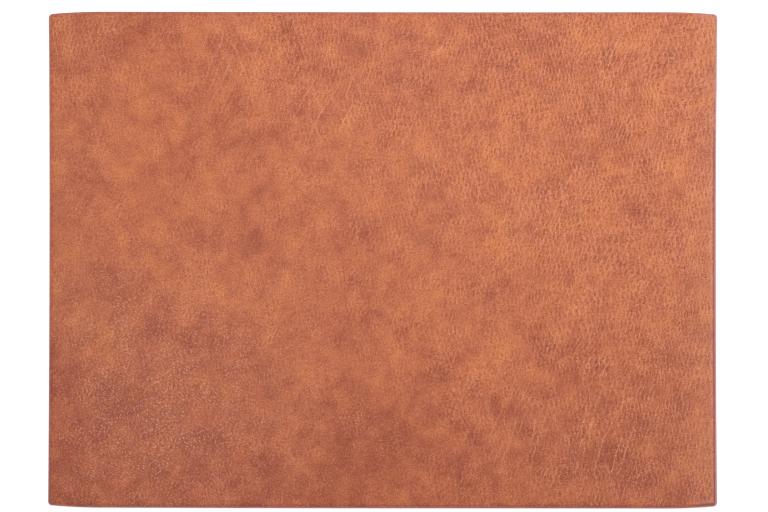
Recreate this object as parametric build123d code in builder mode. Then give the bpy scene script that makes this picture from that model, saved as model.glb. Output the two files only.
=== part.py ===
"""Leather-look desk mat: a flat laminate of bonded sheets, closed all round by a painted edge.

Millimetres, +Z up. The origin is under the middle of the mat, on the desk, and X runs along the long
edges. From the desk up lie the back sheet, lower bond, core board, upper bond, face cloth and face
coat. The core is pared thin along its rim, so the sheets above it slope down to the edge. The edge
coat covers the cut ends of them all.
"""

import os

from build123d import *

# Outline of the finished mat, edge coat included
LENGTH = 450.0
WIDTH = 334.0
EASE_LENGTH = 36.0  # the long edges fall away over this length at each end
EASE_DROP = 1.7
WAIST_DEPTH = 0.8  # the short edges bow inwards by this at their middle
CORNER_RADIUS = 2.2  # of the cut sheets

# Thickness of each sheet, from the desk up
BACK_SHEET = 0.6
LOWER_BOND = 0.1
CORE_BOARD = 0.9
UPPER_BOND = 0.1
FACE_CLOTH = 0.45
FACE_COAT = 0.25

# Pared rim of the core
SLOPE_WIDTH = 3.4
SLOPE_DROP = 0.55
CROWN_RADIUS = 5.0  # corners of the flat face inside the slope

# Painted edge
PAINT_THICKNESS = 0.35
PAINT_ROUNDING = 0.3
PAINT_FOOT = 0.15  # gap between the paint and the desk
LIP_WIDTH = 0.9  # how far the paint laps onto the sloping face

# Levels that follow from the sheets
CORE_BASE = BACK_SHEET + LOWER_BOND
CORE_TOP = CORE_BASE + CORE_BOARD
CLOTH_BASE = CORE_TOP + UPPER_BOND
COAT_BASE = CLOTH_BASE + FACE_CLOTH
TOP = COAT_BASE + FACE_COAT
CREST = TOP - SLOPE_DROP + SLOPE_DROP * LIP_WIDTH / SLOPE_WIDTH


def outline(inset, corner_radius, level):
    """The mat's outline, drawn in by inset, as a sketch at this level."""
    half_length = LENGTH / 2 - inset
    half_width = WIDTH / 2 - inset
    straight = half_length - EASE_LENGTH
    corner = half_width - EASE_DROP
    with BuildSketch(Plane.XY.offset(level)) as sketch:
        with BuildLine():
            for side in (1, -1):
                Line((-straight, side * half_width), (straight, side * half_width))
                for end in (1, -1):
                    TangentArc(
                        (end * straight, side * half_width),
                        (end * half_length, side * corner),
                        tangent=(end, 0),
                    )
                ThreePointArc(
                    (side * half_length, corner),
                    (side * (half_length - WAIST_DEPTH), 0),
                    (side * half_length, -corner),
                )
        make_face()
        ends = sketch.vertices().group_by(Axis.X)
        fillet(ends[0] + ends[-1], corner_radius)
    return sketch.sketch


def cut_line(level):
    """Where the sheets are cut, just inside the edge coat."""
    return outline(PAINT_THICKNESS, CORNER_RADIUS, level)


def slope(flat_level):
    """The sloping rim under a flat face at this level: the outlines at its foot and at its head."""
    head = outline(PAINT_THICKNESS + SLOPE_WIDTH, CROWN_RADIUS, flat_level)
    return [cut_line(flat_level - SLOPE_DROP), head]


def crowned_sheet(base, thickness):
    """Adds a sheet of even thickness that follows the core's flat top and its pared rim."""
    extrude(cut_line(base - SLOPE_DROP), amount=thickness)
    loft(slope(base + thickness), ruled=True)
    loft(slope(base), ruled=True, mode=Mode.SUBTRACT)


# Non-slip microfibre that lies on the desk
with BuildPart() as back_sheet:
    extrude(cut_line(0), amount=BACK_SHEET)

# Film of adhesive between the back sheet and the core
with BuildPart() as lower_bond:
    extrude(cut_line(BACK_SHEET), amount=LOWER_BOND)

# Stiffener, flat below, with its rim pared to a slope above
with BuildPart() as core_board:
    extrude(cut_line(CORE_BASE), amount=CORE_BOARD - SLOPE_DROP)
    loft(slope(CORE_TOP), ruled=True)

# Film of adhesive between the core and the face
with BuildPart() as upper_bond:
    crowned_sheet(CORE_TOP, UPPER_BOND)

# Knitted cloth that carries the coat
with BuildPart() as face_cloth:
    crowned_sheet(CLOTH_BASE, FACE_CLOTH)

# Grained wearing layer
with BuildPart() as face_coat:
    crowned_sheet(COAT_BASE, FACE_COAT)

# Bead of paint round the cut edge, whose top runs level until it meets the sloping face
with BuildPart() as edge_coat:
    rim = outline(0, CORNER_RADIUS + PAINT_THICKNESS, PAINT_FOOT)
    extrude(rim, amount=CREST - PAINT_FOOT)
    caps = edge_coat.faces().sort_by(Axis.Z)
    fillet(caps[0].edges() + caps[-1].edges(), PAINT_ROUNDING)
    extrude(cut_line(0), amount=TOP - SLOPE_DROP, mode=Mode.SUBTRACT)
    loft(slope(TOP), ruled=True, mode=Mode.SUBTRACT)

pieces = {
    "back_sheet": back_sheet,
    "lower_bond": lower_bond,
    "core_board": core_board,
    "upper_bond": upper_bond,
    "face_cloth": face_cloth,
    "face_coat": face_coat,
    "edge_coat": edge_coat,
}

os.makedirs("parts", exist_ok=True)
for name, piece in pieces.items():
    piece.part.label = name
    export_step(piece.part, f"parts/{name}.step")
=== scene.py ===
"""Looks of a leather-look desk mat: a grained tan face, a painted edge and a suede back.

Metres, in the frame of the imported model: +Z up, the origin under the middle of the mat, X along its
long edges. The face, the back and the painted edge are fine meshes that stand for their plain nodes.
The sheets glued up inside stay as they are packed, and get their finishes here.
"""

import logging
import math
from dataclasses import dataclass
from enum import Enum

import bpy
import numpy as np
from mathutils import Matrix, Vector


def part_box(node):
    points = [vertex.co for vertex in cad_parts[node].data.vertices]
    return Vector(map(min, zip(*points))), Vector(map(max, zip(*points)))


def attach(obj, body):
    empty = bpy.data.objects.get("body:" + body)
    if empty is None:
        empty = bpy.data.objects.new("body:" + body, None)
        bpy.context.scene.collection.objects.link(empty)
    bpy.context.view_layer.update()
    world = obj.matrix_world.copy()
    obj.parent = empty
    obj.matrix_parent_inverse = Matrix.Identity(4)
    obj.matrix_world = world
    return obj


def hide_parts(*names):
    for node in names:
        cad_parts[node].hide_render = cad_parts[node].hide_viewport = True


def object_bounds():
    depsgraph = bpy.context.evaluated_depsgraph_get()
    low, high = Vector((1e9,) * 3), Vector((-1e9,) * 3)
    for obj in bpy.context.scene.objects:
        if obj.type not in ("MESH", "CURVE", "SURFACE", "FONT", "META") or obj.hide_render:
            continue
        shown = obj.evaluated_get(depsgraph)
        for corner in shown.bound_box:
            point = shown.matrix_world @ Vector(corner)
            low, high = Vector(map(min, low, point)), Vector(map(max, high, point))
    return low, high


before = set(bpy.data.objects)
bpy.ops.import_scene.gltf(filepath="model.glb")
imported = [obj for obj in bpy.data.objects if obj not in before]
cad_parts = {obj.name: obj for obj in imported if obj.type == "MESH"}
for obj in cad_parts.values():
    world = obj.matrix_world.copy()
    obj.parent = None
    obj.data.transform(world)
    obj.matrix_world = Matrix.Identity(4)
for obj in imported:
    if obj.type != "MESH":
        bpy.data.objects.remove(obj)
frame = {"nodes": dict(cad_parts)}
CAD_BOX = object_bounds()

MM = 0.001

Array = np.ndarray
Colour = tuple[float, float, float]
Node = bpy.types.Node
Socket = bpy.types.NodeSocket
Material = bpy.types.Material
Piece = bpy.types.Object

log = logging.getLogger("desk_mat")


# ---------------------------------------------------------------------------------------- surfaces


def wave_field(x: Array, y: Array, size: float, seed: int, waves: int = 28) -> Array:
    """A smooth random field with mean 0 and spread 1, whose lumps are about one size.

    field = sqrt(2 / n) * the sum of n cosines of (k . p + phase), with k turned every way and its
    wave length near twice the size of a lump.

    Args:
        x: First coordinates of the points.
        y: Second coordinates, of the same shape.
        size: Usual width of a lump, in metres.
        seed: Picks the field.
        waves: Number of cosines.

    Returns:
        The field at each point.
    """
    rng = np.random.default_rng(seed)
    turn = rng.uniform(0.0, math.tau, waves)
    number = math.pi / (size * rng.uniform(0.7, 1.5, waves))
    phase = rng.uniform(0.0, math.tau, waves)
    angle = x[..., None] * (number * np.cos(turn)) + y[..., None] * (number * np.sin(turn)) + phase
    return math.sqrt(2.0 / waves) * np.cos(angle).sum(axis=-1)


def bump_of(x: Array, y: Array, at: tuple[float, float], reach: float) -> Array:
    """A round hill of height 1 at a point: exp(-(distance / reach) squared)."""
    return np.exp(-((x - at[0]) ** 2 + (y - at[1]) ** 2) / reach**2)


def bell(value: Array, middle: float | Array, width: float) -> Array:
    """A bell of height 1 at the middle: exp(-((value - middle) / width) squared)."""
    return np.exp(-(((value - middle) / width) ** 2))


def smooth_step(value: Array, low: float, high: float) -> Array:
    """0 below low, 1 above high, and 3 t^2 - 2 t^3 between them."""
    t = np.clip((value - low) / (high - low), 0.0, 1.0)
    return t * t * (3.0 - 2.0 * t)


def mesh_piece(name: str, points: Array, quads: Array) -> Piece:
    """Puts points and quads into a smooth-shaded mesh object at the origin.

    Args:
        name: Name of the piece.
        points: (n, 3) places, in metres.
        quads: (m, 4) indices, counterclockwise seen from outside.

    Returns:
        The new object, linked to the scene.
    """
    mesh = bpy.data.meshes.new(name)
    mesh.vertices.add(len(points))
    mesh.vertices.foreach_set("co", points.astype(np.float32).ravel())
    mesh.loops.add(quads.size)
    mesh.loops.foreach_set("vertex_index", quads.astype(np.int32).ravel())
    mesh.polygons.add(len(quads))
    mesh.polygons.foreach_set("loop_start", np.arange(0, quads.size, 4, dtype=np.int32))
    mesh.polygons.foreach_set("use_smooth", np.ones(len(quads), dtype=bool))
    mesh.update(calc_edges=True)
    mesh.validate()
    piece = bpy.data.objects.new(name, mesh)
    bpy.context.scene.collection.objects.link(piece)
    return piece


def grid_quads(index: Array) -> Array:
    """Quads between neighbours of a 2D array of point indices, facing the side where rows turn to columns."""
    return np.stack([index[:-1, :-1], index[1:, :-1], index[1:, 1:], index[:-1, 1:]], -1).reshape(-1, 4)


def closed_sheet(name: str, top: Array, bottom: Array) -> Piece:
    """A sheet with an upper and a lower surface on the same grid, joined by a wall round the rim.

    Args:
        name: Name of the piece.
        top: (nx, ny, 3) points of the upper surface, with x and y rising along the grid.
        bottom: (nx, ny, 3) points of the lower surface.

    Returns:
        The closed mesh object. Its first nx * ny points are the upper surface, row by row.
    """
    nx, ny = top.shape[:2]
    upper = np.arange(nx * ny).reshape(nx, ny)
    lower = upper + nx * ny
    rim = [np.concatenate([i[:, 0], i[-1, 1:], i[-2::-1, -1], i[0, -2::-1]]) for i in (lower, upper)]
    quads = [grid_quads(upper), grid_quads(lower)[:, ::-1], grid_quads(np.stack(rim, 1))]
    points = np.concatenate([top.reshape(-1, 3), bottom.reshape(-1, 3)])
    return mesh_piece(name, points, np.concatenate(quads))


def closed_band(name: str, rings: Array) -> Piece:
    """A band whose section runs round a closed path and is itself a closed loop.

    Args:
        name: Name of the piece.
        rings: (stations, section, 3) points: the path runs counterclockwise seen from above, and at
            each station the section runs clockwise seen along the path.

    Returns:
        The closed mesh object.
    """
    stations, section = rings.shape[:2]
    index = np.arange(stations * section).reshape(stations, section)
    index = np.pad(index, ((0, 1), (0, 1)), mode="wrap")
    return mesh_piece(name, rings.reshape(-1, 3), grid_quads(index)[:, ::-1])


def note_points(piece: Piece, name: str, values: Array) -> None:
    """Writes one number per point into a mesh attribute, 0 for the points after the last value."""
    full = np.zeros(len(piece.data.vertices), dtype=np.float32)
    full[: values.size] = values.ravel()
    piece.data.attributes.new(name, "FLOAT", "POINT").data.foreach_set("value", full)


# ------------------------------------------------------------------------------------------- shape


@dataclass(frozen=True)
class Outline:
    """The mat seen from above: a rectangle with eased long edges, waisted short edges and round corners."""

    half_length: float
    half_width: float
    corner_radius: float = 2.55 * MM
    ease_length: float = 36.0 * MM
    ease_drop: float = 1.7 * MM
    waist_depth: float = 0.8 * MM
    slack: float = 0.10 * MM
    corner_steps: int = 13

    def bow(self, x: Array, y: Array) -> tuple[Array, Array]:
        """Bends the plain rectangle to the cut shape, carrying its inside along.

        The long edges fall away as the square of the way past their straight stretch, and the short
        edges draw in as a parabola. A few lazy waves of slack keep either from looking machined.

        Args:
            x: Coordinates along the long edges.
            y: Coordinates along the short edges.

        Returns:
            The bent coordinates.
        """
        past = np.clip(np.abs(x) - self.half_length + self.ease_length, 0.0, None) / self.ease_length
        fall = self.ease_drop * past**2
        waist = self.waist_depth * (1.0 - (y / self.half_width) ** 2)
        lazy_x = self.slack * np.sin(y / self.half_width * 2.3 + np.sign(x) * 0.8)
        lazy_y = self.slack * np.sin(x / self.half_length * 3.1 + np.sign(y) * 0.9)
        bent_x = x * (1.0 - waist / self.half_length) - (x / self.half_length) * lazy_x
        bent_y = y * (1.0 - fall / self.half_width) - (y / self.half_width) * (lazy_y + self.slack)
        return bent_x, bent_y

    def round_corners(self, x: Array, y: Array, inset: float, radius: float) -> tuple[Array, Array]:
        """Rounds the corners of a square-cornered grid that ends at an inset from the outline.

        Inside each corner's square patch, the place (s, t) in the unit square goes to
        (s sqrt(1 - t^2 / 2), t sqrt(1 - s^2 / 2)), which fills the quarter disc evenly.

        Args:
            x: Grid coordinates along the long edges.
            y: Grid coordinates along the short edges.
            inset: How far inside the outline the grid ends.
            radius: Radius of its corners.

        Returns:
            The rounded coordinates.
        """
        flat_x = self.half_length - inset - radius
        flat_y = self.half_width - inset - radius
        s = np.clip((np.abs(x) - flat_x) / radius, 0.0, 1.0)
        t = np.clip((np.abs(y) - flat_y) / radius, 0.0, 1.0)
        round_x = np.minimum(np.abs(x), flat_x) + radius * s * np.sqrt(1.0 - t**2 / 2.0)
        round_y = np.minimum(np.abs(y), flat_y) + radius * t * np.sqrt(1.0 - s**2 / 2.0)
        return np.sign(x) * round_x, np.sign(y) * round_y

    def depth(self, x: Array, y: Array, inset: float, radius: float) -> Array:
        """Distance inside the rounded rectangle at an inset from the outline, below 0 outside it."""
        out_x = np.abs(x) - (self.half_length - inset - radius)
        out_y = np.abs(y) - (self.half_width - inset - radius)
        beyond = np.hypot(np.maximum(out_x, 0.0), np.maximum(out_y, 0.0))
        return radius - beyond - np.minimum(np.maximum(out_x, out_y), 0.0)

    def lines(self, half: float, inset: float, rim: float, rim_lines: int, pitch: float) -> Array:
        """Grid lines across the mat: even on the flat, and closing up towards the rim as a power.

        Args:
            half: Half the outline's size in this direction.
            inset: Where the outermost line lies.
            rim: Width of the closed-up strip.
            rim_lines: Number of lines in it.
            pitch: About how far apart the lines lie on the flat.

        Returns:
            The rising coordinates of the lines, the same to both sides of the middle.
        """
        edge = half - inset - rim * np.linspace(0.0, 1.0, rim_lines + 1) ** 1.5
        count = 2 * max(1, round(edge[-1] / pitch)) + 1
        flat = np.linspace(-edge[-1], edge[-1], count)
        return np.concatenate([-edge[:-1], flat, edge[-2::-1]])

    def grid(
        self, inset: float, radius: float, rim: float, rim_lines: int, pitch: float
    ) -> tuple[Array, Array, Array]:
        """A grid over the mat that ends at an inset from the outline, with its corners rounded.

        Args:
            inset: How far inside the outline the grid ends.
            radius: Radius of its corners.
            rim: Width of the strip in which its lines close up.
            rim_lines: Number of lines in that strip.
            pitch: About how far apart the lines lie on the flat.

        Returns:
            The points' two coordinates, before the outline bends them, and their depths inside the edge.
        """
        spacing = (inset, rim, rim_lines, pitch)
        along, across = self.lines(self.half_length, *spacing), self.lines(self.half_width, *spacing)
        x, y = self.round_corners(*np.meshgrid(along, across, indexing="ij"), inset, radius)
        return x, y, np.maximum(self.depth(x, y, inset, radius), 0.0)

    def border(self, pitch: float) -> tuple[Array, Array]:
        """A closed path round the mat, counterclockwise from the upper right corner.

        Args:
            pitch: About how far apart its points lie on the straight edges.

        Returns:
            (n, 2) points and (n, 2) outward directions.
        """
        reach = np.array([self.half_length, self.half_width]) - self.corner_radius
        turn = np.linspace(0.0, math.pi / 2.0, self.corner_steps)
        points = []
        for quarter, sides in enumerate(((1, 1), (-1, 1), (-1, -1), (1, -1))):
            centre = reach * sides
            angle = turn + quarter * math.pi / 2.0
            arc = centre + self.corner_radius * np.stack([np.cos(angle), np.sin(angle)], 1)
            length = 2.0 * reach[quarter % 2]
            along = np.stack([-np.sin(angle[-1:]), np.cos(angle[-1:])], 1)
            steps = np.linspace(0.0, length, round(length / pitch) + 1)[1:-1, None]
            points += [arc, arc[-1] + along * steps]
        path = np.concatenate(points)
        path = np.stack(self.bow(path[:, 0], path[:, 1]), 1)
        forward = np.roll(path, -1, axis=0) - np.roll(path, 1, axis=0)
        forward /= np.linalg.norm(forward, axis=1, keepdims=True)
        return path, np.stack([forward[:, 1], -forward[:, 0]], 1)


@dataclass(frozen=True)
class Shoulder:
    """The sloping rim of the face: where it lies, how far it falls and how it is rounded."""

    inset: float
    foot_level: float
    top_level: float
    width: float = 3.4 * MM
    head_radius: float = 5.0 * MM
    roundness: float = 1.7
    groove_depth: float = 0.085 * MM
    groove_at: float = 1.35 * MM
    groove_width: float = 0.42 * MM

    def level(self, across: Array) -> Array:
        """Height of the face: foot + drop * (1 - (1 - t)^roundness), where t goes 0 to 1 up the slope."""
        rise = 1.0 - (1.0 - np.clip(across, 0.0, 1.0)) ** self.roundness
        return self.foot_level + (self.top_level - self.foot_level) * rise

    def groove(self, depth: Array) -> Array:
        """How far the pressed line beside the paint dips: a narrow bell across the slope."""
        return self.groove_depth * bell(depth, self.groove_at, self.groove_width)


# -------------------------------------------------------------------------------------- shader help


class Op(Enum):
    """The sums that a Math node does here."""

    ADD = "ADD"
    MULTIPLY = "MULTIPLY"
    MAXIMUM = "MAXIMUM"


class CellView(Enum):
    """What is read from a field of cells: how far its nearest wall is, or its nearest centre."""

    WALL = "DISTANCE_TO_EDGE"
    CENTRE = "F1"


class Bench:
    """Lays out the nodes of one material, so that a finish reads as a recipe."""

    def __init__(self, name: str) -> None:
        """Starts an empty material.

        Args:
            name: Name of the material.
        """
        self.material = bpy.data.materials.new(name)
        self.material.use_nodes = True
        self.tree = self.material.node_tree
        self.tree.nodes.clear()
        self.place = self.node("ShaderNodeTexCoord").outputs["Object"]

    def node(self, kind: str, **settings: object) -> Node:
        """Adds a node with these settings."""
        made = self.tree.nodes.new(kind)
        for name, value in settings.items():
            setattr(made, name, value)
        return made

    def feed(self, socket: Socket, value: object) -> None:
        """Links a socket's value in, or writes a plain one."""
        if isinstance(value, bpy.types.NodeSocket):
            self.tree.links.new(value, socket)
        elif isinstance(value, tuple) and socket.type == "RGBA":
            socket.default_value = (*value, 1.0)
        else:
            socket.default_value = value

    def reckon(self, op: Op, first: object, *others: object) -> Socket:
        """Takes several values together, two at a time, by one kind of sum."""
        result = first
        for other in others:
            made = self.node("ShaderNodeMath", operation=op.value)
            self.feed(made.inputs[0], result)
            self.feed(made.inputs[1], other)
            result = made.outputs[0]
        return result

    def product(self, *values: object) -> Socket:
        """Several values multiplied."""
        return self.reckon(Op.MULTIPLY, *values)

    def total(self, *terms: tuple[Socket, float]) -> Socket:
        """The sum of several values, each times its weight."""
        result = self.product(*terms[0])
        for value, weight in terms[1:]:
            made = self.node("ShaderNodeMath", operation="MULTIPLY_ADD")
            self.feed(made.inputs[0], value)
            self.feed(made.inputs[1], weight)
            self.feed(made.inputs[2], result)
            result = made.outputs[0]
        return result

    def span(self, value: Socket, low: object, high: object, to_low: object = 0.0, to_high: object = 1.0,
             smooth: bool = True) -> Socket:
        """Maps the span low to high onto another, clamped, with soft or plain ends."""
        kind = "SMOOTHSTEP" if smooth else "LINEAR"
        made = self.node("ShaderNodeMapRange", interpolation_type=kind, clamp=True)
        for socket, part in zip(made.inputs, (value, low, high, to_low, to_high)):
            self.feed(socket, part)
        return made.outputs[0]

    def noted(self, name: str) -> Socket:
        """A number that the mesh holds for each point."""
        return self.node("ShaderNodeAttribute", attribute_type="GEOMETRY", attribute_name=name).outputs["Fac"]

    def noise(self, at: Socket, size: float, detail: float = 2.0, rough: float = 0.5) -> Node:
        """A node of cloudy noise whose lumps are about this many metres wide."""
        made = self.node("ShaderNodeTexNoise", noise_dimensions="3D")
        self.feed(made.inputs["Vector"], at)
        made.inputs["Scale"].default_value = 0.5 / size
        made.inputs["Detail"].default_value = detail
        made.inputs["Roughness"].default_value = rough
        return made

    def split(self, colour: Socket) -> Socket:
        """The red share of a colour, as one number."""
        made = self.node("ShaderNodeSeparateColor")
        self.feed(made.inputs[0], colour)
        return made.outputs[0]

    def mist(self, at: Socket, size: float, detail: float = 2.0, rough: float = 0.5) -> Socket:
        """Noise as one number of 0 to 1, mostly near 0.5."""
        return self.noise(at, size, detail, rough).outputs["Fac"]

    def cloud(self, at: Socket, size: float, detail: float = 2.0, rough: float = 0.5) -> Socket:
        """Noise as one number about 0, mostly between -1 and 1."""
        return self.span(self.mist(at, size, detail, rough), 0.25, 0.75, -1.0, 1.0, smooth=False)

    def waves(self, at: Socket) -> Socket:
        """Even waves of 0 to 1 across the first coordinate, one unit apart."""
        made = self.node("ShaderNodeTexWave", wave_type="BANDS", bands_direction="X", wave_profile="SIN")
        self.feed(made.inputs["Vector"], at)
        made.inputs["Scale"].default_value = math.pi / 10.0
        made.inputs["Distortion"].default_value = 0.0
        return made.outputs["Fac"]

    def drift(self, at: Socket, size: float, reach: float) -> Socket:
        """Moves places about, mostly by up to reach, in lumps of this size, so that a pattern wanders."""
        shift = self.node("ShaderNodeVectorMath", operation="SUBTRACT")
        self.feed(shift.inputs[0], self.noise(at, size, 1.0).outputs["Color"])
        shift.inputs[1].default_value = (0.5, 0.5, 0.5)
        moved = self.node("ShaderNodeVectorMath", operation="MULTIPLY_ADD")
        self.feed(moved.inputs[0], shift.outputs[0])
        moved.inputs[1].default_value = (4.0 * reach,) * 3
        self.feed(moved.inputs[2], at)
        return moved.outputs[0]

    def laid(self, at: Socket, lean: float, width: float, length: float) -> Socket:
        """Coordinates in which a cell of this width and length, leaning this many degrees, is one unit."""
        made = self.node("ShaderNodeMapping", vector_type="TEXTURE")
        self.feed(made.inputs["Vector"], at)
        made.inputs["Rotation"].default_value = (0.0, 0.0, math.radians(lean - 90.0))
        made.inputs["Scale"].default_value = (width, length, 1.0)
        return made.outputs[0]

    def cells(self, at: Socket, view: CellView, loose: float = 0.9) -> Node:
        """A field of irregular cells, one unit wide."""
        made = self.node("ShaderNodeTexVoronoi", voronoi_dimensions="2D", feature=view.value)
        self.feed(made.inputs["Vector"], at)
        made.inputs["Scale"].default_value = 1.0
        made.inputs["Randomness"].default_value = loose
        return made

    def beside(self, at: Socket, cell: Node) -> Socket:
        """How far a place is to the side of its cell's centre, less 0.6 of how far ahead or behind it is."""
        offset = self.node("ShaderNodeVectorMath", operation="SUBTRACT")
        self.feed(offset.inputs[0], at)
        self.feed(offset.inputs[1], cell.outputs["Position"])
        away = self.node("ShaderNodeVectorMath", operation="ABSOLUTE")
        self.feed(away.inputs[0], offset.outputs[0])
        parts = self.node("ShaderNodeSeparateXYZ")
        self.feed(parts.inputs[0], away.outputs[0])
        return self.total((parts.outputs[0], 1.0), (parts.outputs[1], -0.6))

    def blend(self, share: object, a: object, b: object) -> Socket:
        """Mixes two colours: the first where the share is 0, the second where it is 1."""
        made = self.node("ShaderNodeMix", data_type="RGBA", clamp_factor=True)
        self.feed(made.inputs[0], share)
        self.feed(made.inputs[6], a)
        self.feed(made.inputs[7], b)
        return made.outputs[2]

    def relief(self, height: Socket, depth: float, under: Socket | None = None) -> Socket:
        """A surface direction from a height of 0 to 1 that stands for this many metres."""
        made = self.node("ShaderNodeBump")
        made.inputs["Distance"].default_value = depth
        self.feed(made.inputs["Height"], height)
        if under is not None:
            self.feed(made.inputs["Normal"], under)
        return made.outputs[0]

    def surface(self, **sockets: object) -> Material:
        """Ends the recipe in one Principled shader, whose sockets are named with underscores.

        Returns:
            The finished material.
        """
        shader = self.node("ShaderNodeBsdfPrincipled")
        for name, value in sockets.items():
            self.feed(shader.inputs[name.replace("_", " ")], value)
        self.tree.links.new(shader.outputs[0], self.node("ShaderNodeOutputMaterial").inputs["Surface"])
        return self.material


# ------------------------------------------------------------------------------------------ finishes


@dataclass(frozen=True)
class GrainedCoat:
    """The face's coat: pebbles with lighter lines between them, folds, long wrinkles and a cloudy stain.

    It reads six numbers noted on the mesh: tone (the stain, with painted light and shade across the
    whole hide), grain (how deep the pebbles are), lean (how much the wrinkles show), polish (how glossy
    the pebbles' tops are, and where glints are painted on them), rim (painted shade in the pressed line
    beside the paint) and the share of painted highlight and sheen. A lean is in degrees, counterclockwise
    from the long edges, and is the way that the lines, or the long sides of the cells, run.
    """

    dark: Colour = (0.385, 0.084, 0.041)
    middle: Colour = (0.562, 0.154, 0.066)
    light: Colour = (0.718, 0.224, 0.079)
    # lighter lines of the pulled-up hide, partly a painted highlight on the crests of the relief
    crease_and_highlight: Colour = (0.88, 0.388, 0.230)
    # dark pores, and painted shade in the troughs of the relief
    pit_and_shade: Colour = (0.28, 0.050, 0.017)
    # painted shade in the pressed line beside the paint
    groove_shade: Colour = (0.30, 0.070, 0.048)
    # pale pink of the painted highlight, glints and sheen
    sheen_colour: Colour = (0.80, 0.52, 0.44)
    combs: tuple[tuple[float, float], ...] = ((73.0, 2.7 * MM), (102.0, 3.1 * MM))
    pebble_lean: float = 84.0
    pebble_width: float = 1.75 * MM
    pebble_length: float = 2.6 * MM
    pebble_looseness: float = 0.85
    pebble_depth: float = 0.20 * MM
    streak_lean: float = 80.0
    streak_width: float = 1.7 * MM
    streak_length: float = 8.0 * MM
    fold_lean: float = 76.0
    fold_width: float = 5.5 * MM
    fold_length: float = 11.0 * MM
    # the cells and rows on which glints are painted
    glint_lean: float = 146.0
    glint_width: float = 1.5 * MM
    glint_length: float = 2.7 * MM
    glint_row: float = 1.9 * MM
    wrinkles: tuple[tuple[float, ...], ...] = (
        (67.0, 4.6 * MM, 26 * MM, 1.0),
        (110.0, 9.0 * MM, 20 * MM, 0.5),
    )
    wrinkle_depth: float = 0.12 * MM

    def stain_and_shade_colour(self, bench: Bench, wander: Socket) -> Socket:
        """The colour of the stain and of the painted light and shade across the hide, dark to light.

        Args:
            bench: Where the nodes are laid out.
            wander: Places for the larger clouds.

        Returns:
            The colour.
        """
        # the noted tone carries the painted light and shade across the whole hide
        stain = bench.total(
            (bench.noted("tone"), 0.90),
            (bench.cloud(wander, 7 * MM, 3.0, 0.6), 0.68),
            (bench.cloud(bench.place, 2.4 * MM, 2.0, 0.6), 0.38),
        )
        body = bench.blend(bench.span(stain, -1.5, 0.0, smooth=False), self.dark, self.middle)
        return bench.blend(bench.span(stain, 0.0, 1.5, smooth=False), body, self.light)

    def comb(self, bench: Bench, ragged: Socket, crossed: Socket) -> Socket:
        """Two fans of wandering ridges that cross at a narrow angle: the higher of them, 0 to 1."""
        fans = [bench.laid(way, lean, gap, MM) for way, (lean, gap) in zip((ragged, crossed), self.combs)]
        return bench.reckon(Op.MAXIMUM, *map(bench.waves, fans))

    def pebbled(self, bench: Bench, ragged: Socket, comb: Socket, streak: Socket) -> tuple[Socket, Socket]:
        """The lines between the pebbles, and the hollows in them.

        The lines are the comb's crests, with the walls of loose cells as thin threads between them,
        plainest where they run with the grain, and lighter partly as a painted highlight on the crests of
        the relief. They fade where the streak is low. The hollows are the comb's troughs, darker as
        painted shade, with a dark pore at the centre of most cells.

        Args:
            bench: Where the nodes are laid out.
            ragged: Places that the pebbles are laid on.
            comb: The two fans of ridges.
            streak: Noise that runs with the grain.

        Returns:
            The lines and the hollows.
        """
        laid = bench.laid(ragged, self.pebble_lean, self.pebble_width, self.pebble_length)
        pebble = bench.cells(laid, CellView.CENTRE, self.pebble_looseness)
        wall = bench.cells(laid, CellView.WALL, self.pebble_looseness).outputs["Distance"]
        along = bench.span(bench.beside(laid, pebble), -0.1, 0.2, 0.25, 1.0)
        thread = bench.product(bench.span(wall, 0.0, 0.20, 1.0, 0.0), along)
        ridge = bench.total((bench.span(comb, 0.84, 1.0), 0.72), (thread, 0.48))
        some = bench.span(bench.split(pebble.outputs["Color"]), 0.1, 0.8)
        pit_and_shade = bench.product(bench.span(pebble.outputs["Distance"], 0.08, 0.48, 1.0, 0.0), some)
        hollow = bench.total((bench.span(comb, 0.15, 0.84, 1.0, 0.0), 0.38), (pit_and_shade, 0.78))
        return bench.product(ridge, bench.span(streak, 0.34, 0.60, 0.40, 1.0)), hollow

    def folded(self, bench: Bench, crossed: Socket) -> Socket:
        """Thin fold lines round groups of pebbles, plain in some places and faint in others."""
        laid = bench.laid(crossed, self.fold_lean, self.fold_width, self.fold_length)
        wall = bench.cells(laid, CellView.WALL, 1.0).outputs["Distance"]
        plain = bench.span(bench.mist(bench.place, 8 * MM), 0.42, 0.58, 0.15, 1.0)
        return bench.product(bench.span(wall, 0.0, 0.12, 1.0, 0.0), plain)

    def wrinkled(self, bench: Bench, slow: Socket) -> Socket:
        """Long wrinkles, two sets of broken crests, where the mesh notes them."""
        straight = bench.drift(slow, 11 * MM, 1.7 * MM)
        sets = []
        for lean, gap, length, weight in self.wrinkles:
            crest = bench.span(bench.waves(bench.laid(straight, lean, gap, MM)), 0.78, 1.0, 0.0, weight)
            stretch = bench.mist(bench.laid(bench.place, lean, 1.0, length / gap), 0.8 * gap, 1.0)
            sets.append(bench.product(crest, bench.span(stretch, 0.43, 0.56)))
        return bench.product(bench.reckon(Op.MAXIMUM, *sets), bench.noted("lean"))

    def rubbed_glints(self, bench: Bench, glint_grid: Socket, polish: Socket) -> Socket:
        """Painted glints: small pale tips on the pebbles, on most cells and thicker in patches."""
        glint_cell = bench.cells(glint_grid, CellView.CENTRE)
        tip = bench.span(glint_cell.outputs["Distance"], 0.08, 0.27, 1.0, 0.0)
        some = bench.span(bench.split(glint_cell.outputs["Color"]), 0.25, 0.85)
        patchy = bench.span(bench.mist(bench.place, 9 * MM), 0.32, 0.56, 0.25, 1.0)
        return bench.product(tip, some, polish, patchy)

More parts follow.
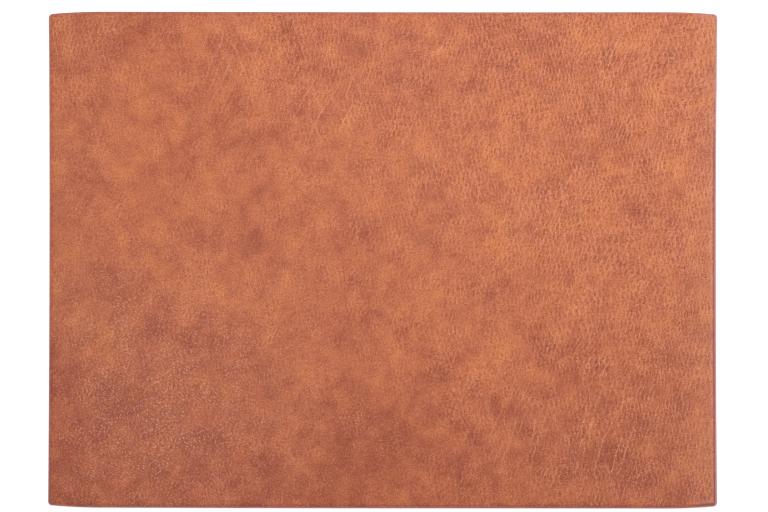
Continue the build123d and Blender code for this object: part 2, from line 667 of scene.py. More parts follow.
    def material(self) -> Material:
        """Builds the material: stain, the grain's light and dark, then painted highlight and painted shade.
        """
        bench = Bench("grained_coat")
        grain, polish = bench.noted("grain"), bench.noted("polish")
        slow = bench.drift(bench.place, 40 * MM, 6 * MM)
        grown = bench.drift(slow, 13 * MM, 1.7 * MM)
        ragged = bench.drift(bench.drift(grown, 6.0 * MM, 0.42 * MM), 1.2 * MM, 0.15 * MM)
        crossed = bench.drift(bench.drift(grown, 5.0 * MM, 0.52 * MM), 1.3 * MM, 0.14 * MM)
        streaks = bench.laid(grown, self.streak_lean, self.streak_width / MM, self.streak_length / MM)
        glint_grid = bench.laid(ragged, self.glint_lean, self.glint_width, self.glint_length)
        rows = bench.laid(ragged, self.glint_lean, self.glint_row, MM)

        streak = bench.mist(streaks, MM, 2.0, 0.6)
        comb = self.comb(bench, ragged, crossed)
        ridge, hollow = self.pebbled(bench, ragged, comb, streak)
        wrinkle = self.wrinkled(bench, bench.drift(bench.place, 45 * MM, 6 * MM))
        fine = bench.cloud(bench.place, 0.42 * MM, 1.0)
        speckle = bench.total(
            (fine, 0.44),
            (bench.product(fine, grain), 0.12),
            (bench.product(bench.cloud(glint_grid, 0.30, 1.0), polish), 0.34),
            (bench.cloud(ragged, 0.8 * MM, 1.0), 0.12),
            (bench.product(ridge, grain), 0.39),
            (bench.product(hollow, grain), -0.47),
            (bench.product(bench.span(streak, 0.2, 0.8, -1.0, 1.0, smooth=False), grain), 0.10),
            (bench.product(bench.waves(rows), polish), -0.15),
            (bench.product(self.folded(bench, crossed), grain), 0.20),
            (wrinkle, 0.38),
        )
        # painted highlight and sheen: pale glint tips, a faint veil over the glossy patch, and the highlight
        # and sheen noted on the mesh
        painted_sheen = bench.total(
            (self.rubbed_glints(bench, glint_grid, polish), 0.95),
            (polish, 0.03),
            (bench.noted("painted_highlight"), 0.17),
        )
        body = self.stain_and_shade_colour(bench, bench.drift(slow, 9 * MM, 2.2 * MM))
        # lightens the lines, folds and wrinkles of the hide, partly as a painted highlight on the relief, and
        # darkens its troughs and pores, partly as painted shade
        body = bench.blend(bench.span(speckle, 0.0, 1.15, smooth=False), body, self.crease_and_highlight)
        body = bench.blend(bench.span(speckle, -0.80, 0.0, 1.0, 0.0, smooth=False), body, self.pit_and_shade)
        body = bench.blend(painted_sheen, body, self.sheen_colour)
        # painted shade in the pressed line beside the paint, deepest along the lower right-hand edge
        body = bench.blend(bench.product(bench.noted("rim"), 0.75), body, self.groove_shade)

        normal = bench.relief(bench.product(comb, grain), self.pebble_depth)
        normal = bench.relief(wrinkle, self.wrinkle_depth, normal)
        sheen = bench.total((bench.cloud(bench.place, 3 * MM), 0.05), (polish, -0.24), (ridge, -0.04))
        return bench.surface(
            Base_Color=body,
            Roughness=bench.reckon(Op.ADD, sheen, 0.58),
            Specular_IOR_Level=0.22,
            Normal=normal,
        )


@dataclass(frozen=True)
class EdgePaint:
    """Rose-brown edge paint, brushed on by hand: satin, a little streaky along the edge.

    It reads two numbers noted on the mesh: the share of a painted reflection, pale pink, on the
    right-hand side, and the share of painted shade low on the sides that face away from the light.
    """

    colour: Colour = (0.42, 0.120, 0.105)
    worn: Colour = (0.52, 0.175, 0.150)
    deep: Colour = (0.24, 0.058, 0.055)
    # painted reflection: the paint with the pale backdrop mirrored in it
    painted_reflection: Colour = (0.62, 0.285, 0.325)
    # painted shade on the sides that face away from the light
    shade_colour: Colour = (0.15, 0.085, 0.095)

    def material(self) -> Material:
        """Builds the material."""
        bench = Bench("edge_paint")
        worn = bench.span(bench.mist(bench.place, 4 * MM, 3.0), 0.45, 0.75)
        deep = bench.span(bench.mist(bench.place, 15 * MM), 0.50, 0.75)
        body = bench.blend(worn, self.colour, self.worn)
        body = bench.blend(bench.product(deep, 0.5), body, self.deep)
        # painted reflection on the right-hand side, painted shade low on the bottom and the left
        body = bench.blend(bench.noted("painted_reflection"), body, self.painted_reflection)
        body = bench.blend(bench.noted("painted_shade"), body, self.shade_colour)
        streak = bench.mist(bench.place, 0.35 * MM)
        return bench.surface(
            Base_Color=body,
            Roughness=bench.span(streak, 0.2, 0.8, 0.30, 0.46),
            Specular_IOR_Level=0.5,
            Normal=bench.relief(streak, 0.05 * MM),
        )


@dataclass(frozen=True)
class Suede:
    """The back's microfibre: short nap that lies this way and that, with a soft sheen."""

    pile: Colour = (0.205, 0.088, 0.052)
    brushed: Colour = (0.285, 0.130, 0.080)
    sheen_colour: Colour = (0.62, 0.42, 0.32)

    def material(self) -> Material:
        """Builds the material."""
        bench = Bench("suede_back")
        lay = bench.span(bench.mist(bench.drift(bench.place, 60 * MM, 12 * MM), 30 * MM, 3.0), 0.4, 0.6)
        fibres = bench.mist(bench.laid(bench.place, 20.0, 0.25, 0.8), 0.9 * MM, 3.0, 0.7)
        tuft = bench.mist(bench.place, 0.30 * MM, 2.0, 0.7)
        body = bench.blend(lay, self.pile, self.brushed)
        body = bench.blend(bench.span(fibres, 0.35, 0.70, 0.0, 0.5), body, self.brushed)
        nap = bench.total((fibres, 0.5), (tuft, 0.5))
        return bench.surface(
            Base_Color=body,
            Roughness=0.92,
            Specular_IOR_Level=0.2,
            Sheen_Weight=0.35,
            Sheen_Roughness=0.5,
            Sheen_Tint=self.sheen_colour,
            Normal=bench.relief(nap, 0.18 * MM),
        )


@dataclass(frozen=True)
class KnitCloth:
    """The face's base cloth: fine knitted wales and courses, unbleached."""

    yarn: Colour = (0.55, 0.46, 0.36)
    # darker colour of the gaps: painted shade between the loops
    gap: Colour = (0.36, 0.29, 0.22)
    wale: float = 0.55 * MM
    course: float = 0.42 * MM

    def material(self) -> Material:
        """Builds the material."""
        bench = Bench("knit_cloth")
        loops = bench.laid(bench.drift(bench.place, 2 * MM, 0.08 * MM), 90.0, self.wale, self.course)
        stitch = bench.cells(loops, CellView.CENTRE, 0.12).outputs["Distance"]
        rise = bench.span(stitch, 0.10, 0.62, 1.0, 0.0)
        # painted shade in the gaps between the loops
        body = bench.blend(rise, self.gap, self.yarn)
        fuzz = bench.cloud(bench.place, 0.3 * MM, 3.0)
        return bench.surface(
            Base_Color=body,
            Roughness=bench.span(fuzz, -1.0, 1.0, 0.85, 0.97),
            Specular_IOR_Level=0.2,
            Normal=bench.relief(rise, 0.12 * MM),
        )


@dataclass(frozen=True)
class FibreBoard:
    """The core's bonded leather: pressed shreds of hide in browns, matt and slightly rough."""

    hide: Colour = (0.30, 0.185, 0.115)
    shred: Colour = (0.42, 0.28, 0.18)
    bark: Colour = (0.17, 0.095, 0.058)

    def material(self) -> Material:
        """Builds the material."""
        bench = Bench("fibre_board")
        shreds = bench.mist(bench.laid(bench.place, 35.0, 0.6, 2.2), 1.1 * MM, 4.0, 0.65)
        crossing = bench.mist(bench.laid(bench.place, 125.0, 0.6, 2.0), 1.4 * MM, 4.0, 0.65)
        body = bench.blend(bench.span(shreds, 0.45, 0.65), self.hide, self.shred)
        body = bench.blend(bench.span(crossing, 0.52, 0.68), body, self.bark)
        return bench.surface(
            Base_Color=body,
            Roughness=bench.span(shreds, 0.3, 0.7, 0.75, 0.9),
            Specular_IOR_Level=0.3,
            Normal=bench.relief(bench.total((shreds, 0.5), (crossing, 0.5)), 0.15 * MM),
        )


@dataclass(frozen=True)
class GlueFilm:
    """Cured adhesive: a thin amber film with the dimples of the roller that spread it."""

    clear: Colour = (0.66, 0.58, 0.44)
    thick: Colour = (0.50, 0.38, 0.22)

    def material(self) -> Material:
        """Builds the material."""
        bench = Bench("glue_film")
        dimple = bench.cells(bench.laid(bench.place, 45.0, 1.6 * MM, 1.6 * MM), CellView.CENTRE, 0.5)
        pool = bench.span(bench.mist(bench.place, 6 * MM, 3.0), 0.4, 0.7)
        return bench.surface(
            Base_Color=bench.blend(pool, self.clear, self.thick),
            Roughness=bench.span(pool, 0.0, 1.0, 0.42, 0.28),
            Specular_IOR_Level=0.5,
            Normal=bench.relief(dimple.outputs["Distance"], 0.06 * MM),
        )


# -------------------------------------------------------------------------------------------- pieces


@dataclass(frozen=True)
class Patch:
    """A soft patch of stain, painted light or shade, wrinkles, or gloss with painted glints, in
    millimetres from the middle of the mat.
    """

    x: float
    y: float
    reach: float
    strength: float

    def over(self, x: Array, y: Array) -> Array:
        """The patch's share at each point."""
        return self.strength * bump_of(x, y, (self.x * MM, self.y * MM), self.reach * MM)


# Each spot is x, y, reach and strength, darker below 0 and lighter above it.
STAIN_AND_SHADE = tuple(Patch(*spot) for spot in (
    # the darker clouds
    (-172, 152, 26, -0.6), (-108, 140, 11, -0.4), (-190, 102, 16, -0.6), (-118, 88, 22, -0.6),
    (-90, 78, 12, -0.6), (-136, 58, 14, -0.6), (-68, 92, 14, -0.7), (-50, 70, 9, -0.5),
    (-198, 52, 20, -0.7), (-218, 22, 15, -0.8), (-90, 12, 14, -0.7), (-118, 16, 18, -0.4),
    (-78, 36, 20, -0.4), (-15, 16, 18, -0.8), (32, 54, 15, -0.7), (38, 14, 15, -0.6),
    (22, 128, 24, -0.5), (70, 140, 16, -0.6), (112, 140, 15, -0.6), (148, 134, 9, -0.5),
    (2, 88, 9, -0.6), (134, 74, 18, -0.6), (165, 82, 18, -0.6), (185, 34, 20, -0.6),
    (165, 8, 12, -0.5), (75, -18, 15, -0.9), (106, -55, 14, -0.6), (135, -60, 17, -0.7),
    (-188, -14, 15, -0.8), (-156, -42, 15, -0.7), (-118, -52, 17, -0.7), (-80, -78, 14, -0.7),
    (-15, -48, 18, -0.6), (10, -5, 11, -0.5), (34, -78, 15, -0.6), (-178, -96, 22, -0.7),
    (-216, -82, 18, -0.8), (-118, -122, 15, -0.7), (-208, -130, 20, -0.5), (2, -116, 27, -0.8),
    (-24, -142, 20, -0.6), (52, -140, 15, -0.7), (118, -140, 12, -0.5), (142, -130, 14, -0.5),
    (178, -86, 20, -0.5),
    # the lighter ones
    (-126, 158, 15, 0.9), (-86, 157, 16, 0.9), (-82, 125, 20, 0.7), (-168, 118, 15, 0.6),
    (-32, 134, 13, 0.5), (-172, 78, 17, 0.5), (-118, 44, 15, 0.6), (-56, 58, 13, 0.6),
    (-20, 84, 15, 0.5), (22, 82, 14, 0.6), (-8, 40, 13, 0.6), (80, 64, 16, 0.7),
    (88, 105, 11, 0.7), (44, 146, 16, 0.7), (135, 148, 14, 0.8), (173, 152, 15, 0.8),
    (186, 118, 14, 0.8), (215, 148, 17, 0.7), (142, 38, 12, 0.7), (196, 60, 14, 0.6),
    (82, 7, 19, 0.6), (-118, -20, 24, 0.7), (-72, -34, 20, 0.5), (32, -24, 20, 0.5),
    (-188, -58, 24, 0.6), (-50, -70, 14, 0.7), (4, -70, 15, 0.7), (74, -68, 21, 0.8),
    (125, -26, 16, 0.4), (-98, -84, 14, 0.5), (-152, -122, 15, 0.4), (-62, -122, 20, 0.4),
    (76, -118, 17, 0.4),
    # smaller touches between them, from the top left to the bottom right
    (-140, 160, 12, -0.7), (-95, 150, 12, -0.4), (-152, 133, 9, 0.5), (-185, 115, 10, 0.4),
    (-20, 142, 10, -0.8), (-60, 125, 8, -0.7), (-38, 125, 8, -0.4), (45, 150, 7, -0.6),
    (45, 133, 9, 0.4), (98, 122, 9, 0.4), (188, 140, 10, -0.6), (200, 125, 8, -0.4),
    (-145, 85, 12, 0.5), (-88, 90, 8, 0.7), (-64, 77, 7, 0.7), (-105, 60, 15, 0.4),
    (35, 95, 10, -0.4), (-38, 101, 6, -0.4), (-8, 103, 6, -0.4), (68, 90, 6, -0.5),
    (125, 100, 9, 0.5), (112, 82, 9, 0.5), (150, 62, 12, 0.5), (180, 100, 9, 0.5),
    (220, 108, 14, 0.4), (205, 82, 8, 0.5), (205, 62, 7, -0.4), (205, 41, 9, 0.5),
    (115, 48, 8, -0.8), (128, 60, 7, -0.7), (65, 50, 7, -0.5), (68, 40, 6, -0.5),
    (92, 22, 8, -0.5), (22, 35, 6, -0.4), (20, 53, 7, 0.5), (165, 12, 8, 0.6),
    (-80, 25, 8, 0.7), (-55, 22, 7, 0.5), (-155, 50, 9, -0.3), (-215, 25, 14, 0.4),
    (-225, -5, 14, 0.7), (-165, 2, 9, -0.5), (0, 1, 7, 0.7), (-15, -8, 7, 0.4),
    (112, -12, 6, -1.1), (100, -45, 6, -0.4), (85, -42, 10, 0.4), (118, -40, 10, 0.5),
    (185, -40, 9, 0.6), (225, -30, 14, 0.8), (222, 20, 14, 0.5), (222, -80, 16, 0.8),
    (-45, -42, 8, -0.5), (-115, -40, 9, -0.5), (-225, -68, 10, -0.8), (-18, -58, 9, 0.4),
    (33, -65, 8, 0.6), (143, -60, 9, 0.5), (205, -62, 7, -0.5), (40, -82, 7, -0.6),
    (165, -80, 14, 0.6), (180, -93, 11, 0.5), (85, -97, 13, -0.9), (10, -90, 12, 0.4),
    (-185, -90, 9, -0.5), (-135, -85, 10, 0.5), (-157, -107, 7, -0.6), (-122, -110, 7, 0.5),
    (-55, -115, 7, -0.9), (-45, -123, 7, -0.5), (36, -122, 8, 0.8), (62, -118, 8, -0.9),
    (100, -115, 8, -0.6), (168, -115, 9, -0.8), (225, -112, 16, 0.8), (22, -132, 7, -0.8),
    (-148, -130, 7, -0.6), (-133, -145, 9, -0.6), (-220, -148, 16, -0.8), (-85, -160, 9, -1.0),
    (-45, -140, 12, 0.5), (10, -140, 11, 0.4), (135, -132, 10, -0.5), (160, -145, 9, -0.8),
    (188, -155, 10, -0.7), (220, -145, 18, 0.8),
    # and a second round of them
    (-75, -143, 12, -0.8), (-50, -152, 10, -0.8), (-205, -165, 10, -0.6), (-160, -165, 10, -0.7),
    (-110, 139, 6, -0.5), (45, 155, 6, -0.5), (120, 47, 8, -0.5), (160, 3, 8, -0.5),
    (-35, -100, 9, -0.4), (103, -118, 7, -0.5), (165, -140, 8, -0.6), (-225, -92, 10, -0.5),
    (-115, -75, 8, -0.5), (0, -12, 6, -0.4), (-225, 60, 12, 0.5), (-185, 62, 10, 0.5),
    (-170, 12, 8, 0.4), (-30, 8, 6, 0.5), (27, 17, 7, 0.5), (55, 88, 6, 0.5),
    (168, 90, 9, 0.5), (225, 0, 14, 0.5), (172, -105, 8, 0.6), (90, -110, 7, 0.5),
    (135, -115, 8, 0.4), (38, -95, 8, 0.4), (200, -135, 10, 0.5), (-215, -66, 11, -0.9),
    (205, -60, 9, -0.6), (200, -119, 8, -0.6), (90, -80, 9, 0.8), (-160, 12, 9, 0.5),
    (112, 58, 8, 0.6), (-62, 80, 6, 0.4), (60, -88, 7, 0.5), (205, 76, 8, -0.4),
    (-115, -36, 8, 0.5), (205, -160, 14, -0.6), (-160, 158, 9, -0.5), (-60, 160, 9, -0.5),
    (-16, 155, 6, -0.5), (-108, 139, 6, -0.5),
    # painted light and shade across the whole hide: darker along the bottom and the top edge, lighter
    # across the upper middle
    (-160, -150, 90, -0.56), (0, -160, 90, -0.55), (160, -150, 90, -0.50), (210, 20, 60, 0.20),
    (120, 45, 110, 0.32), (0, 60, 90, 0.10), (-170, 60, 60, 0.25), (-90, 165, 60, -0.20),
    (90, 165, 60, -0.20),
))

# Listed in the same way.
WRINKLES = tuple(Patch(*spot) for spot in (
    (-100, 135, 30, 1.0), (-40, 102, 24, 1.0), (58, 42, 26, 0.8), (110, 26, 28, 1.0),
    (-12, 118, 24, 0.7), (22, 88, 20, 0.7), (130, 60, 26, 0.6), (88, -110, 30, 0.9),
    (150, -128, 34, 1.0), (150, 140, 34, 0.7), (190, 90, 36, 0.6), (10, 150, 26, 0.5),
    (185, -20, 40, 0.4),
))


@dataclass
class LeatherFace:
    """The grained face: a thin sheet that lies flat and slopes down all round to the painted edge."""

    outline: Outline
    shoulder: Shoulder
    thickness: float
    corner_radius: float = 2.2 * MM
    pitch: float = 2.15 * MM
    rim_strip: float = 8.5 * MM
    rim_lines: int = 15
    sway: float = 0.045 * MM
    # the glossy patch at the lower left, where glints are painted on the pebbles
    rubbed_glints: Patch = Patch(-152, -98, 92, 1.0)
    deeper: tuple[Patch, ...] = (Patch(-205, 148, 40, 0.55), Patch(-70, 150, 42, 0.30))

    def build(self) -> Piece:
        """Makes the sheet's mesh and notes on it what its finish reads.

        Its height is the shoulder's rounded slope, less the pressed groove beside the paint, plus a
        slow sway of the flat.

        Returns:
            The piece, in place.
        """
        line, slope = self.outline, self.shoulder
        x, y, depth = line.grid(slope.inset, self.corner_radius, self.rim_strip, self.rim_lines, self.pitch)
        short_of_head = np.maximum(-line.depth(x, y, slope.inset + slope.width, slope.head_radius), 0.0)
        across = depth / (depth + short_of_head + 1e-9)
        sway = self.sway * across * wave_field(x, y, 38 * MM, 11)
        level = slope.level(across)
        bent = line.bow(x, y)
        top = np.stack([*bent, level - slope.groove(depth) + sway], -1)
        bottom = np.stack([*bent, level - self.thickness], -1)
        piece = closed_sheet("leather_face", top, bottom)
        self.note(piece, x, y, depth)
        return piece

    def grain(self, x: Array, y: Array, right: Array, polish: Array) -> Array:
        """How deep the pebbles are: more to the right, in the glossy lower left, and at the top left."""
        grain = 0.20 + 0.71 * right + 0.25 * polish + 0.14 * wave_field(x, y, 13 * MM, 26)
        return grain + sum(patch.over(x, y) for patch in self.deeper)

    def near_edge(self, share: Array) -> Array:
        """1 close to an edge and 0 away from it, for a share of the way from the middle to the edge."""
        return smooth_step(share, 0.90, 0.97)

    def groove_shade(self, x: Array, y: Array, depth: Array, lower: Array) -> Array:
        """How much painted shade lies in the pressed line beside the paint.

        Args:
            x: Coordinates along the long edges.
            y: Coordinates along the short edges.
            depth: Distance in from the cut line.
            lower: 0 along the top of the mat, 1 below it.

        Returns:
            The share, most along the right-hand edge below the top, and a little more at the bottom.
        """
        right = self.near_edge(x / self.outline.half_length)
        bottom = self.near_edge(-y / self.outline.half_width)
        share = 0.35 + 0.65 * right * lower - 0.25 * right * (1.0 - lower) + 0.25 * bottom
        return share * bell(depth, self.shoulder.groove_at, 0.6 * MM)

    def painted_sheen(self, x: Array, y: Array, depth: Array, lower: Array) -> Array:
        """How much painted highlight and sheen lies on the coat.

        The painted highlight is strongest in a thin line at the head of the right-hand slope. Faint veils
        of painted sheen lie towards the right-hand edge, the left-hand edge above its lower end, and the
        lower right corner.

        Args:
            x: Coordinates along the long edges.
            y: Coordinates along the short edges.
            depth: Distance in from the cut line.
            lower: 0 along the top of the mat, 1 below it.

        Returns:
            The share.
        """
        right = self.near_edge(x / self.outline.half_length)
        # painted highlight along the head of the right-hand slope, then veils of painted sheen
        painted_highlight = right * bell(depth, (1.6 + 1.3 * lower) * MM, 0.8 * MM)
        painted_highlight = painted_highlight + 0.12 * smooth_step(x, 0.17, 0.22) + 0.16 * smooth_step(x, 0.205, 0.222)
        painted_highlight = painted_highlight + 0.10 * smooth_step(-x, 0.16, 0.20) * smooth_step(y, -0.10, -0.02)
        return painted_highlight + 0.10 * smooth_step(x - 0.6 * y, 0.10, 0.30)

    def note(self, piece: Piece, x: Array, y: Array, depth: Array) -> None:
        """Notes the stain with its painted light and shade, the grain's depth, the wrinkles, the polish, the
        painted shade beside the paint, and the painted highlight and sheen.

        The stain's and the wrinkles' places are first moved about by two slow random fields, so that
        no patch stays round. Small random clouds, stronger to the right, lie over the stain.

        Args:
            piece: The face.
            x: Coordinates of the upper surface along the long edges.
            y: Coordinates along the short edges.
            depth: Distance in from the cut line.
        """
        u = x + 2.2 * MM * wave_field(x, y, 9 * MM, 21)
        v = y + 2.2 * MM * wave_field(x, y, 9 * MM, 22)
        right = smooth_step(x + 0.4 * y + 22 * MM * wave_field(x, y, 45 * MM, 25), -0.11, 0.19)
        lower = smooth_step(y, 0.125, 0.06)
        # the stain, with painted light and shade across the whole hide
        tone = sum(patch.over(u, v) for patch in STAIN_AND_SHADE)
        tone = 1.10 * tone + 0.25 * wave_field(u, v, 10 * MM, 23) + 0.15 * wave_field(x, y, 6 * MM, 24)
        tone = tone + right * (0.14 * wave_field(u, v, 11 * MM, 27) + 0.10 * wave_field(u, v, 6 * MM, 28))
        lean = sum(patch.over(u, v) for patch in WRINKLES)
        polish = self.rubbed_glints.over(x, y)
        note_points(piece, "tone", np.clip(tone, -1.6, 1.6))
        note_points(piece, "grain", np.clip(self.grain(x, y, right, polish), 0.08, 1.3))
        note_points(piece, "lean", np.clip(lean, 0.0, 1.0))
        note_points(piece, "polish", polish)
        note_points(piece, "rim", self.groove_shade(x, y, depth, lower))
        note_points(piece, "painted_highlight", self.painted_sheen(x, y, depth, lower))

    def finish(self) -> Piece:
        """Builds the face, dresses it and puts it in the plain node's place.

        Returns:
            The finished piece.
        """
        piece = self.build()
        piece.data.materials.append(GrainedCoat().material())
        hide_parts("face_coat")
        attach(piece, "root")
        return piece


@dataclass
class PaintedEdge:
    """The bead of paint: a full, rounded outer side, and a lip that laps unevenly onto the face."""

    outline: Outline
    shoulder: Shoulder
    foot: float
    crest: float
    pitch: float = 1.4 * MM
    lip_width: float = 0.42 * MM
    right_extra: float = 0.75 * MM
    bottom_extra: float = 0.18 * MM
    corner_extra: float = 1.6 * MM
    waver: float = 0.07 * MM
    squareness: float = 0.55
    # how strong the painted reflection and the painted shade are
    reflection_share: float = 0.90
    shade_share: float = 0.60
    tuck: float = 0.05 * MM
    lip_steps: int = 7
    side_steps: int = 13
    under_steps: int = 4

    def lip(self, path: Array, outward: Array) -> Array:
        """How far the lip reaches at each station of the path.

        Widest along the right-hand edge, most of all near its lower end, and at the upper corners, and
        narrowest along the top and the upper left. Its waver comes from sines of the way round.

        Args:
            path: (n, 2) points of the path.
            outward: (n, 2) outward directions.

        Returns:
            (n, 1) widths, in metres.
        """
        stroke = np.linspace(0.0, math.tau, len(path), endpoint=False)
        waver = np.sin(37 * stroke + 1.0) + 0.7 * np.sin(83 * stroke) + 0.5 * np.sin(151 * stroke + 2.0)
        low = 0.7 - 0.6 * path[:, 1] / self.outline.half_width
        right, bottom = np.maximum(outward[:, 0], 0.0), np.maximum(-outward[:, 1], 0.0)
        left = np.maximum(-outward[:, 0], 0.0) * np.clip(low - 0.5, 0.0, 1.0)
        corner = np.abs(outward[:, 0]) * np.maximum(outward[:, 1], 0.0)
        width = self.lip_width + self.right_extra * right * low + self.bottom_extra * (bottom + left)
        return (width + self.corner_extra * corner + self.waver * waver)[:, None]

    def section(self, lip: Array) -> tuple[Array, Array]:
        """The bead's section at each station.

        From the tip of the lip: its domed top out to the crest, the outer side as a superellipse down
        to the foot, the hidden wall up to the slope, and the lip's underside back to the tip.

        Args:
            lip: (n, 1) widths of the lip.

        Returns:
            How far each point lies inside the outline, and its level, both (n, section).
        """
        rim, even = self.shoulder, np.ones_like(lip)
        out = np.linspace(1.0, 0.0, self.lip_steps)[None, :-1]
        dome = 0.4 * (self.crest - rim.foot_level) * np.sqrt(1.0 - out**2) * out
        top_level = rim.level(lip * out / rim.width) * out + (1.0 - out) * self.crest + dome

        turn = np.linspace(math.pi / 2.0, -math.pi / 2.0, self.side_steps)[None, :]
        middle, half = (self.crest + self.foot) / 2.0, (self.crest - self.foot) / 2.0
        side_inset = rim.inset * (1.0 - np.abs(np.cos(turn)) ** self.squareness)
        side_level = middle + half * np.sign(np.sin(turn)) * np.abs(np.sin(turn)) ** self.squareness

        back = np.linspace(0.0, 1.0, self.under_steps)[None, :-1]
        under_inset = rim.inset + self.tuck * (1.0 - back) + lip * back
        under_level = rim.level(lip * back / rim.width) - self.tuck

        inset = [rim.inset + lip * out, side_inset * even, (rim.inset + self.tuck) * even, under_inset]
        level = [top_level, side_level * even, self.foot * even, under_level]
        return np.concatenate(inset, 1), np.concatenate(level, 1)

    def build(self) -> Piece:
        """Carries the bead's section along the path, and notes its painted reflection and painted shade.

        The painted reflection is on the outer part of the right-hand edge, and the painted shade is low
        on the bottom edge and on the lower half of the left-hand one.

        Returns:
            The piece, in place.
        """
        path, outward = self.outline.border(self.pitch)
        inset, level = self.section(self.lip(path, outward))
        place = path[:, None, :] - inset[..., None] * outward[:, None, :]
        piece = closed_band("painted_edge", np.concatenate([place, level[..., None]], -1))
        outer = smooth_step(inset, 1.35 * MM, 1.0 * MM)
        right, left = np.maximum(outward[:, 0], 0.0), np.maximum(-outward[:, 0], 0.0)
        below = np.maximum(-outward[:, 1], 0.0) + left * smooth_step(path[:, 1], 0.0, -0.08)
        rind = smooth_step(inset, 0.75 * MM, 0.30 * MM)
        # painted reflection on the outer right-hand side, painted shade low on the bottom and the left
        note_points(piece, "painted_reflection", outer * right[:, None] * self.reflection_share)
        note_points(piece, "painted_shade", rind * below[:, None] * self.shade_share)
        return piece

    def finish(self) -> Piece:
        """Builds the bead, dresses it and puts it in the plain node's place.

        Returns:
            The finished piece.
        """
        piece = self.build()
        piece.data.materials.append(EdgePaint().material())
        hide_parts("edge_coat")
        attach(piece, "root")
        return piece


@dataclass
class SuedeBack:
    """The back sheet: microfibre that lies on the desk, its lower rim softened by the cutting knife."""

    outline: Outline
    inset: float
    thickness: float
    corner_radius: float = 2.2 * MM
    pitch: float = 4.0 * MM
    rim_strip: float = 3.0 * MM
    rim_lines: int = 8
    softened: float = 0.18 * MM
    softened_width: float = 0.9 * MM

    def build(self) -> Piece:
        """Makes the sheet's mesh: flat above, and below it rises in a soft step at the rim.

        Returns:
            The piece, in place.
        """
        line = self.outline
        x, y, depth = line.grid(self.inset, self.corner_radius, self.rim_strip, self.rim_lines, self.pitch)
        lift = self.softened * (1.0 - smooth_step(depth, 0.0, self.softened_width))
        bent = line.bow(x, y)
        top = np.stack([*bent, np.full_like(x, self.thickness)], -1)
        return closed_sheet("suede_back", top, np.stack([*bent, lift], -1))

    def finish(self) -> Piece:
        """Builds the back, dresses it and puts it in the plain node's place.

        Returns:
            The finished piece.
        """
        piece = self.build()
        piece.data.materials.append(Suede().material())
        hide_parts("back_sheet")
        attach(piece, "root")
        return piece


@dataclass
class GluedLayers:
    """The sheets inside the laminate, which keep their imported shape."""

    nodes: dict[str, Piece]

    def finish(self) -> list[Piece]:
        """Gives each inner node its finish.

        Returns:
            The dressed nodes.
        """
        glue = GlueFilm().material()
        finishes = {
            "lower_bond": glue,
            "core_board": FibreBoard().material(),
            "upper_bond": glue,
            "face_cloth": KnitCloth().material(),
        }
        for name, material in finishes.items():
            slots = self.nodes[name].data.materials
            slots.clear()
            slots.append(material)
        return [self.nodes[name] for name in finishes]


# -------------------------------------------------------------------------------------------- studio


# Rays that meet white, so that the backdrop and its reflections are white
BACKDROP_RAYS = ("Is Camera Ray", "Is Glossy Ray", "Is Transmission Ray")


@dataclass(frozen=True)
class Lamp:
    """A square soft lamp that is turned to the middle of the mat: its place, size and power in watts."""

    name: str
    place: tuple[float, float, float]
    size: float
    power: float

    def hang(self) -> None:
        """Puts the lamp into the scene."""
        light = bpy.data.lights.new(self.name, "AREA")
        light.size = self.size
        light.energy = self.power
        lamp = bpy.data.objects.new(self.name, light)
        lamp.location = self.place
        lamp.rotation_euler = lamp.location.to_track_quat("Z", "Y").to_euler()
        bpy.context.scene.collection.objects.link(lamp)


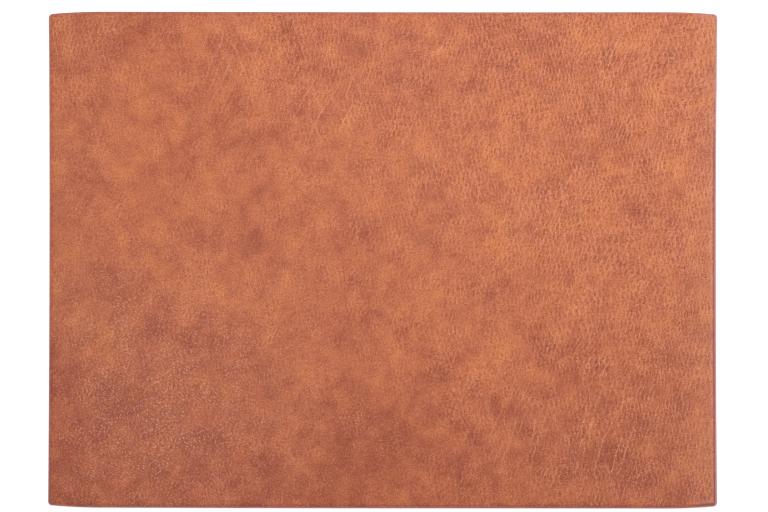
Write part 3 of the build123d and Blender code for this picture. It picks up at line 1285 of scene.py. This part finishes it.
@dataclass
class Studio:
    """A pale floor, a soft key lamp, a small lamp that glints on the grain, and the camera above."""

    top_level: float
    camera_height: float = 1.30
    view_width: float = 516.2 * MM
    aim: tuple[float, float] = (0.95 * MM, 2.7 * MM)
    roll: float = 0.065
    lean: float = 0.27
    world_strength: float = 0.298
    floor_size: float = 8.0
    floor_drop: float = 0.02 * MM
    floor_shade: float = 0.80
    floor_glow: float = 0.70
    lamps: tuple[Lamp, ...] = (
        Lamp("key", (0.22, 0.42, 1.10), size=0.50, power=9.5),
        Lamp("glint", (-0.40, -0.28, 1.10), size=0.10, power=0.4),
    )

    def floor(self) -> None:
        """A pale floor that the camera sees as white, and that still takes the mat's shadow."""
        half = self.floor_size / 2.0
        lines = np.linspace(-half, half, 9)
        x, y = np.meshgrid(lines, lines, indexing="ij")
        points = np.stack([x, y, np.full_like(x, -self.floor_drop)], -1).reshape(-1, 3)
        floor = mesh_piece("floor", points, grid_quads(np.arange(x.size).reshape(x.shape)))
        bench = Bench("floor")
        tree = bench.tree
        paper = bench.node("ShaderNodeBsdfDiffuse")
        bench.feed(paper.inputs["Color"], (self.floor_shade,) * 3)
        glow = bench.node("ShaderNodeEmission")
        seen = bench.node("ShaderNodeLightPath").outputs
        rays = bench.reckon(Op.MAXIMUM, *(seen[kind] for kind in BACKDROP_RAYS))
        bench.feed(glow.inputs["Strength"], bench.product(rays, self.floor_glow))
        both = bench.node("ShaderNodeAddShader")
        tree.links.new(paper.outputs[0], both.inputs[0])
        tree.links.new(glow.outputs[0], both.inputs[1])
        tree.links.new(both.outputs[0], bench.node("ShaderNodeOutputMaterial").inputs["Surface"])
        floor.data.materials.append(bench.material)

    def world(self) -> None:
        """Even light from all round, with white behind whatever the camera sees."""
        world = bpy.data.worlds.new("studio")
        world.use_nodes = True
        nodes, links = world.node_tree.nodes, world.node_tree.links
        nodes.clear()
        seen = nodes.new("ShaderNodeLightPath").outputs
        rays = seen[BACKDROP_RAYS[0]]
        for kind in BACKDROP_RAYS[1:]:
            either = nodes.new("ShaderNodeMath")
            either.operation = "MAXIMUM"
            links.new(rays, either.inputs[0])
            links.new(seen[kind], either.inputs[1])
            rays = either.outputs[0]
        strength = nodes.new("ShaderNodeMapRange")
        strength.inputs["To Min"].default_value = self.world_strength
        strength.inputs["To Max"].default_value = 1.0
        shade = nodes.new("ShaderNodeBackground")
        shade.inputs["Color"].default_value = (1.0, 1.0, 1.0, 1.0)
        output = nodes.new("ShaderNodeOutputWorld")
        links.new(rays, strength.inputs["Value"])
        links.new(strength.outputs[0], shade.inputs["Strength"])
        links.new(shade.outputs[0], output.inputs["Surface"])
        bpy.context.scene.world = world

    def camera(self) -> None:
        """A camera above the mat that leans a little, as wide as the view at the level of the face."""
        lens = bpy.data.cameras.new("camera")
        lens.lens = lens.sensor_width * self.camera_height / self.view_width
        camera = bpy.data.objects.new("camera", lens)
        aside = self.camera_height * math.sin(math.radians(self.lean))
        camera.location = (self.aim[0] + aside, self.aim[1], self.top_level + self.camera_height)
        camera.rotation_euler = (0.0, math.radians(self.lean), math.radians(self.roll))
        bpy.context.scene.collection.objects.link(camera)
        bpy.context.scene.camera = camera

    def light(self) -> None:
        """Sets up everything round the mat."""
        self.floor()
        self.world()
        for lamp in self.lamps:
            lamp.hang()
        self.camera()
        bpy.context.scene.view_settings.view_transform = "Standard"


def main() -> None:
    """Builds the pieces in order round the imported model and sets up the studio."""
    logging.basicConfig(level=logging.INFO, format="%(name)s: %(message)s")
    paint, coat, cloth, back = (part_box(n) for n in ("edge_coat", "face_coat", "face_cloth", "back_sheet"))
    outline = Outline(half_length=CAD_BOX[1].x, half_width=CAD_BOX[1].y)
    thickness = coat[1].z - cloth[1].z
    shoulder = Shoulder(
        inset=paint[1].y - coat[1].y, foot_level=coat[0].z + thickness, top_level=coat[1].z
    )
    made = [
        LeatherFace(outline, shoulder, thickness).finish(),
        PaintedEdge(outline, shoulder, foot=paint[0].z, crest=paint[1].z).finish(),
        SuedeBack(outline, shoulder.inset, back[1].z).finish(),
        *GluedLayers(frame["nodes"]).finish(),
    ]
    for piece in made:
        log.info("%s: %d faces", piece.name, len(piece.data.polygons))
    Studio(top_level=coat[1].z).light()


if __name__ == "__main__":
    main()
